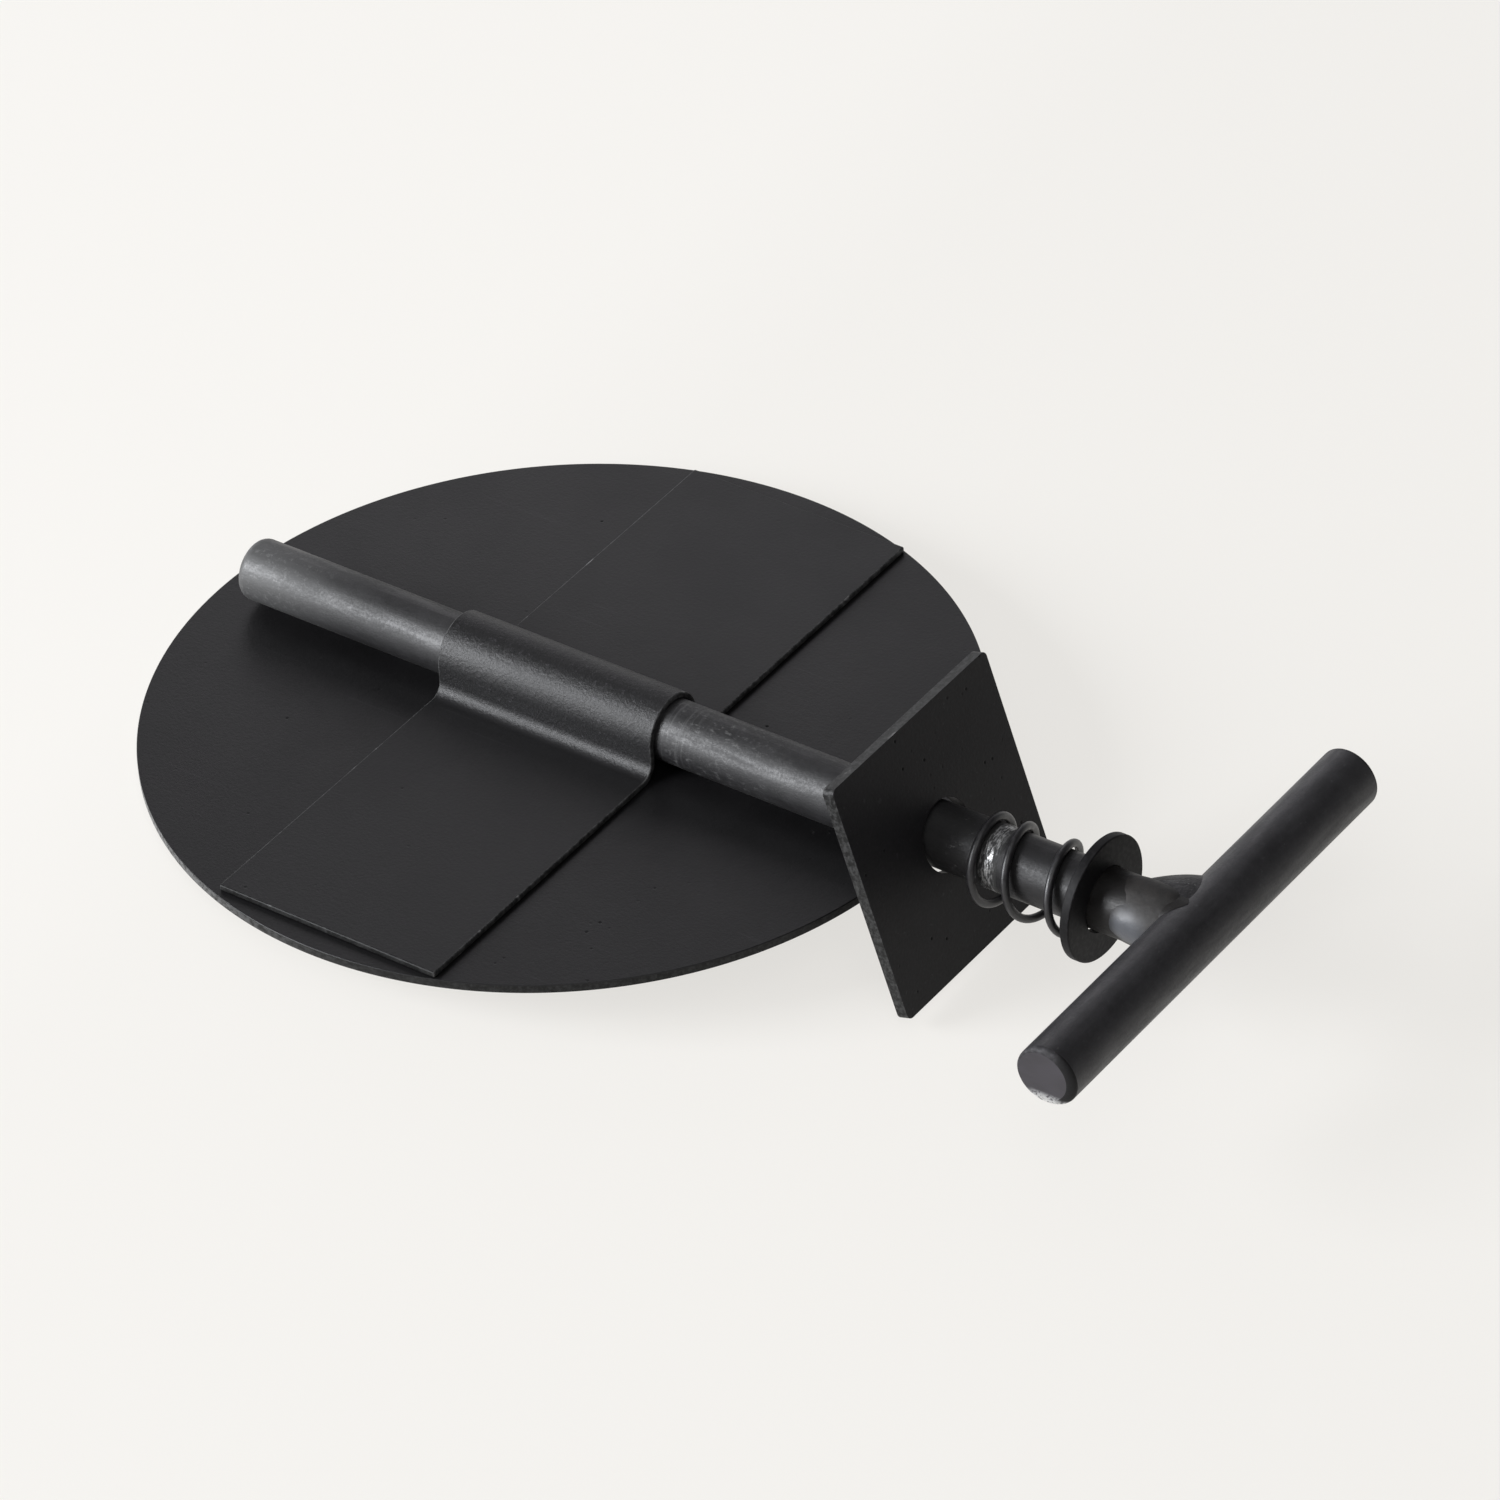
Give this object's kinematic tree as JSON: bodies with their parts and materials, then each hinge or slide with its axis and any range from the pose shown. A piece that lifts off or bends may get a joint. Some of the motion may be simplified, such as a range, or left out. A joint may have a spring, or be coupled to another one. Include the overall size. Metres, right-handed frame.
{
  "type": "stove pipe damper",
  "caption": "Throttle for a round flue: sheet blade with a pressed saddle on a round spindle with a welded T handle, and a loose spring, washer and square plate that press on the pipe wall.",
  "frame": {"origin": "on the spindle's axis, straight over the centre of the round blade, where the flue's axis crosses it", "axes": "+X along the spindle towards the T handle, +Y along the handle's cross bar, +Z square to the blade on the spindle's side"},
  "size_m": [0.1844, 0.13, 0.0388],
  "materials": {
    "blade_sheet": "matte charcoal black, finely pitted",
    "strap_sheet": "matte charcoal black, satin where it was pressed",
    "plate_sheet": "matte charcoal black, lighter sheared edges",
    "spindle_bar": "satin hot rolled bar, mottled and scratched",
    "handle_bar_stock": "dark satin hot rolled bar",
    "bare_weld": "bare ground weld",
    "fillet_weld": "dark weld bead",
    "washer_steel": "dark satin, lighter rim",
    "spring_wire": "black satin wire"
  },
  "bodies": {
    "spindle": {"spindle_rod": "spindle_bar", "butt_weld": "bare_weld", "handle_stub": "handle_bar_stock", "handle_weld": "fillet_weld", "handle_bar": "handle_bar_stock"},
    "blade": {"blade_disc": "blade_sheet", "saddle_strap": "strap_sheet"},
    "washer": {"washer": "washer_steel"},
    "spring": {"spring": "spring_wire"},
    "wall_plate": {"wall_plate": "plate_sheet"}
  },
  "joints": [
    {"name": "blade_slide", "type": "slide", "parent": "spindle", "child": "blade", "axis": [1, 0, 0], "range_m": [-0.07, 0]},
    {"name": "washer_turn", "type": "hinge", "parent": "spindle", "child": "washer", "pos_m": [0.0984, 0, 0], "axis": [1, 0, 0], "continuous": true},
    {"name": "spring_press", "type": "slide", "parent": "washer", "child": "spring", "axis": [1, 0, 0], "range_m": [0, 0.012], "stiffness_N_per_m": 4000, "deforming": ["spring"]},
    {"name": "plate_slide", "type": "slide", "parent": "spring", "child": "wall_plate", "axis": [1, 0, 0], "range_m": [0, 0.0038]}
  ]
}
